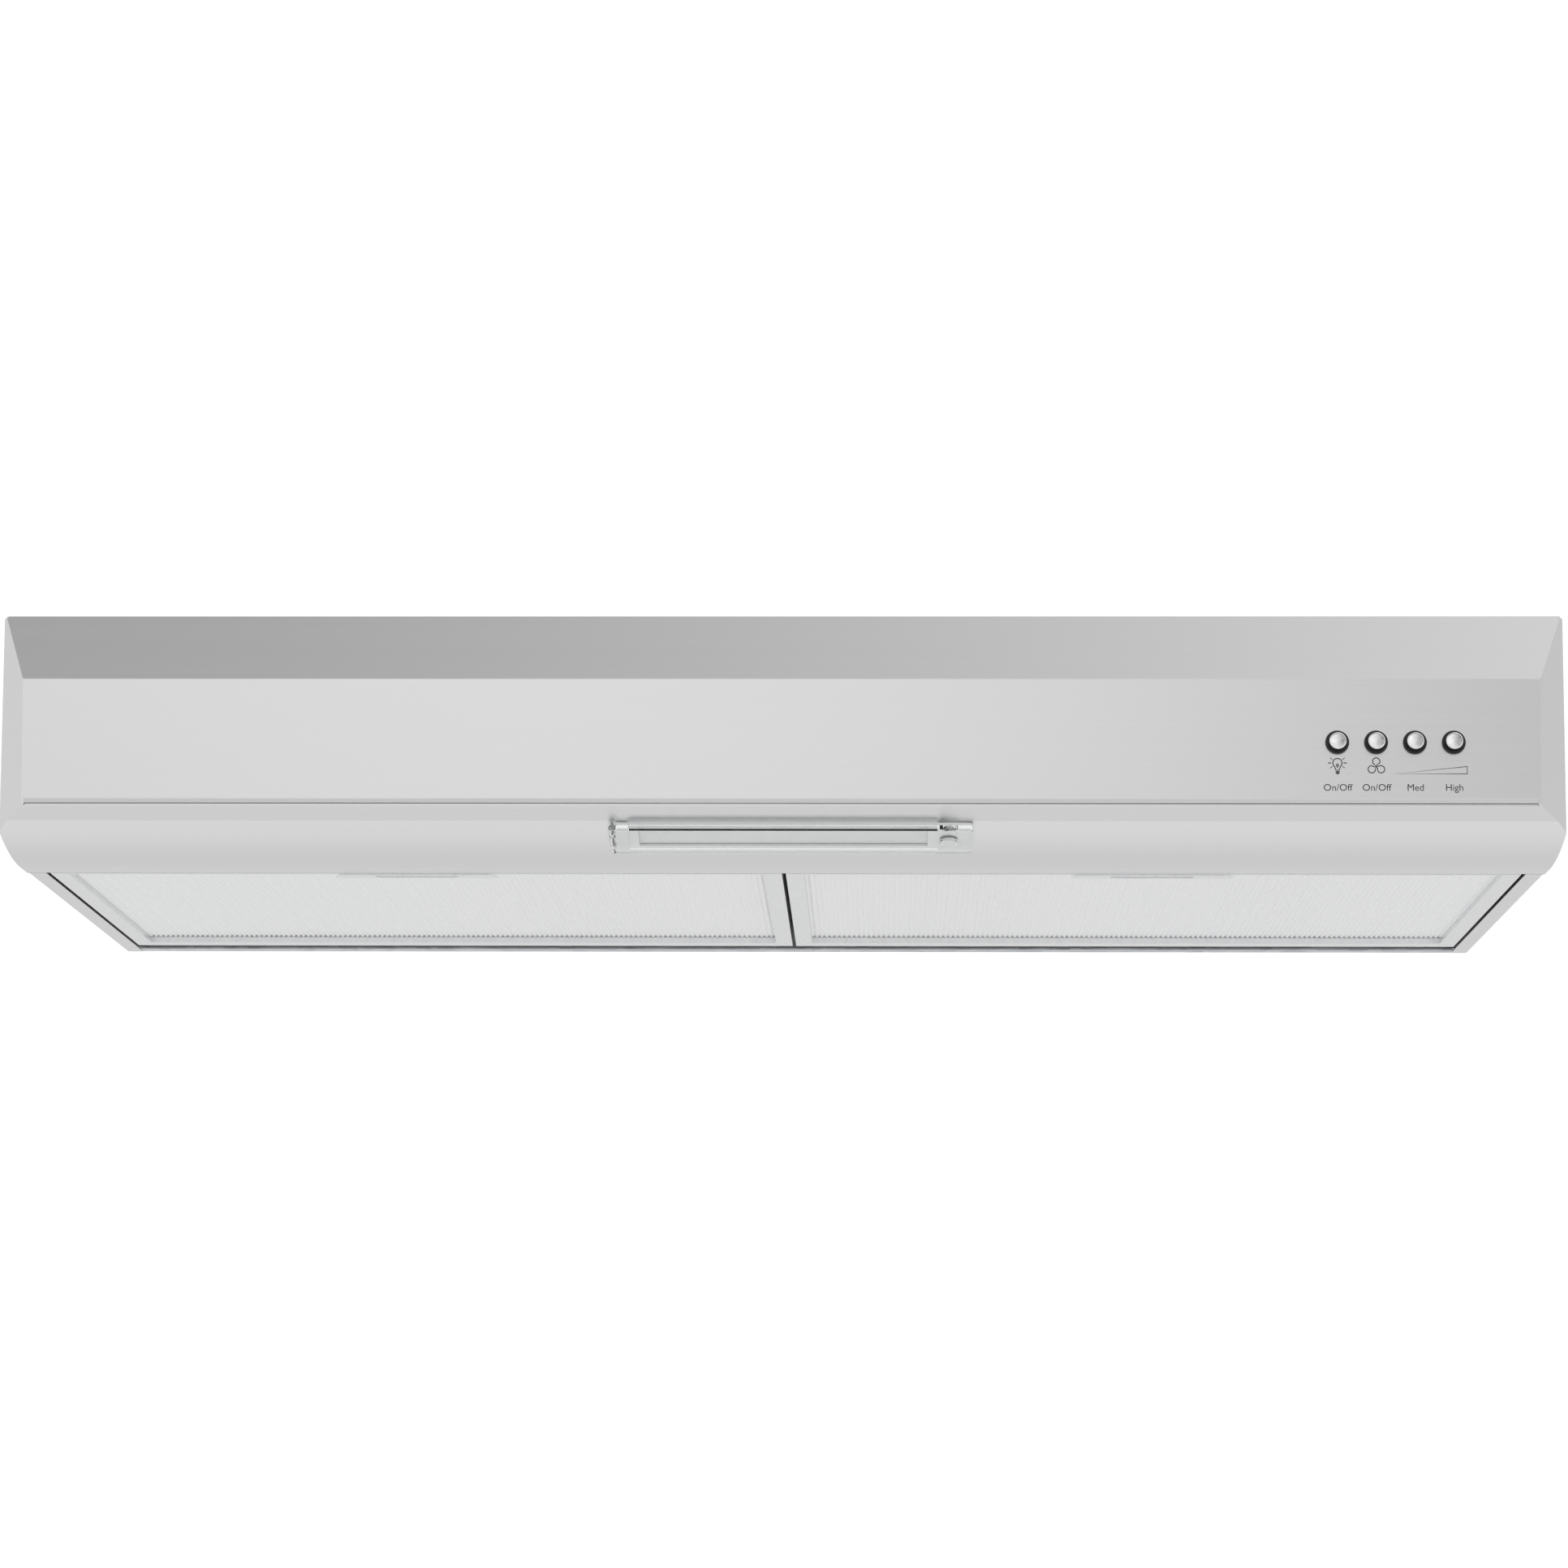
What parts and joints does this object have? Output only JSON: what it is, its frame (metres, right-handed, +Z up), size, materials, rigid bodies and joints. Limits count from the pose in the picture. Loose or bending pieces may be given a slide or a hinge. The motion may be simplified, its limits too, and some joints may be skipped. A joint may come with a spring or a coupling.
{
  "type": "under cabinet range hood",
  "caption": "Slim stainless under cabinet range hood with push buttons, a lamp lens, hinged mesh filters, a blower and a top duct collar with a damper.",
  "frame": {"origin": "centre of the four cabinet screw slots, on the top face that lies against the cabinet", "axes": "+X to the right seen from the front, +Y back towards the wall, +Z up"},
  "size_m": [0.759, 0.4617, 0.1556],
  "materials": {
    "stainless": "horizontally brushed stainless sheet",
    "galvanised": "zinc-coated sheet with a faint spangle",
    "filter_aluminium": "mill-finish aluminium",
    "bright_steel": "bright zinc-plated steel",
    "button_metal": "turned and polished metal",
    "black_plastic": "fine satin moulded plastic",
    "clear_lens": "clear moulded plastic",
    "white_enamel": "satin white enamel",
    "diffuser_white": "frosted white sheet",
    "circuit_board": "white solder mask",
    "emitter_amber": "amber phosphor under clear resin",
    "cable_sheath": "grey sheath",
    "motor_black": "black paint",
    "iron_core": "varnished steel laminations",
    "copper_wire": "enamelled copper",
    "bronze": "sintered bronze",
    "mount_rubber": "black rubber",
    "capacitor_can": "drawn aluminium can"
  },
  "bodies": {
    "casing": {"top_panel": "galvanised", "front_panel": "stainless", "back_panel": "galvanised", "rear_duct_cover": "galvanised", "light_panel": "stainless", "side_panel_left": "stainless", "side_panel_right": "stainless", "rear_rail": "galvanised", "filter_hooks": "bright_steel", "filter_clips": "bright_steel", "sheet_screws": "bright_steel", "duct_collar": "galvanised", "damper_pin": "bright_steel", "cable_entry_plate": "galvanised", "wiring_box": "galvanised", "wiring_box_cover": "galvanised", "motor_cable": "cable_sheath", "lamp_cable": "cable_sheath", "switch_cable": "cable_sheath", "run_capacitor": "capacitor_can", "capacitor_strap": "galvanised", "button_bezels": "black_plastic", "switch_block": "black_plastic", "switch_bracket": "galvanised", "lamp_reflector": "white_enamel", "light_board": "circuit_board", "light_emitters": "emitter_amber", "diffuser": "diffuser_white", "lens_hinge_pin": "bright_steel", "outlet_bridge": "galvanised", "scroll_wrappers": "galvanised", "inlet_plates": "galvanised", "motor_plates": "galvanised", "motor_shells": "motor_black", "motor_stator": "iron_core", "motor_windings": "copper_wire", "motor_bushes": "bronze", "motor_mounts": "mount_rubber"},
    "blower_rotor": {"blower_shaft": "bright_steel", "blower_wheels": "galvanised", "motor_rotor": "iron_core"},
    "damper": {"damper_flap": "galvanised"},
    "filter_left": {"filter_left_frame": "filter_aluminium", "filter_left_mesh": "filter_aluminium", "filter_left_tab": "filter_aluminium", "filter_left_wire": "bright_steel"},
    "filter_right": {"filter_right_frame": "filter_aluminium", "filter_right_mesh": "filter_aluminium", "filter_right_tab": "filter_aluminium", "filter_right_wire": "bright_steel"},
    "lens": {"lamp_lens": "clear_lens", "lens_screw": "bright_steel"},
    "button_lamp": {"button_lamp_cap": "button_metal", "button_lamp_plunger": "black_plastic"},
    "button_fan": {"button_fan_cap": "button_metal", "button_fan_plunger": "black_plastic"},
    "button_medium": {"button_medium_cap": "button_metal", "button_medium_plunger": "black_plastic"},
    "button_high": {"button_high_cap": "button_metal", "button_high_plunger": "black_plastic"}
  },
  "joints": [
    {"name": "blower_spin", "type": "hinge", "parent": "casing", "child": "blower_rotor", "pos_m": [0, 0.11, -0.054], "axis": [1, 0, 0], "continuous": true},
    {"name": "damper_swing", "type": "hinge", "parent": "casing", "child": "damper", "pos_m": [0, 0.1315, 0.009], "axis": [1, 0, 0], "range_deg": [0, 70]},
    {"name": "filter_left_drop", "type": "hinge", "parent": "casing", "child": "filter_left", "pos_m": [-0.1845, 0.204, -0.105], "axis": [1, 0, 0], "range_deg": [0, 70]},
    {"name": "filter_right_drop", "type": "hinge", "parent": "casing", "child": "filter_right", "pos_m": [0.1845, 0.204, -0.105], "axis": [1, 0, 0], "range_deg": [0, 70]},
    {"name": "lens_drop", "type": "hinge", "parent": "casing", "child": "lens", "pos_m": [-0.0815, -0.18907, -0.10883], "axis": [0, 0.9653, -0.2612], "range_deg": [0, 75]},
    {"name": "button_lamp_press", "type": "slide", "parent": "casing", "child": "button_lamp", "axis": [0, 0.9988, -0.0491], "range_m": [0, 0.003], "stiffness_N_per_m": 400, "springref_m": -0.002},
    {"name": "button_fan_press", "type": "slide", "parent": "casing", "child": "button_fan", "axis": [0, 0.9988, -0.0491], "range_m": [0, 0.003], "stiffness_N_per_m": 400, "springref_m": -0.002},
    {"name": "button_medium_press", "type": "slide", "parent": "casing", "child": "button_medium", "axis": [0, 0.9988, -0.0491], "range_m": [0, 0.003], "stiffness_N_per_m": 400, "springref_m": -0.002},
    {"name": "button_high_press", "type": "slide", "parent": "casing", "child": "button_high", "axis": [0, 0.9988, -0.0491], "range_m": [0, 0.003], "stiffness_N_per_m": 400, "springref_m": -0.002}
  ]
}
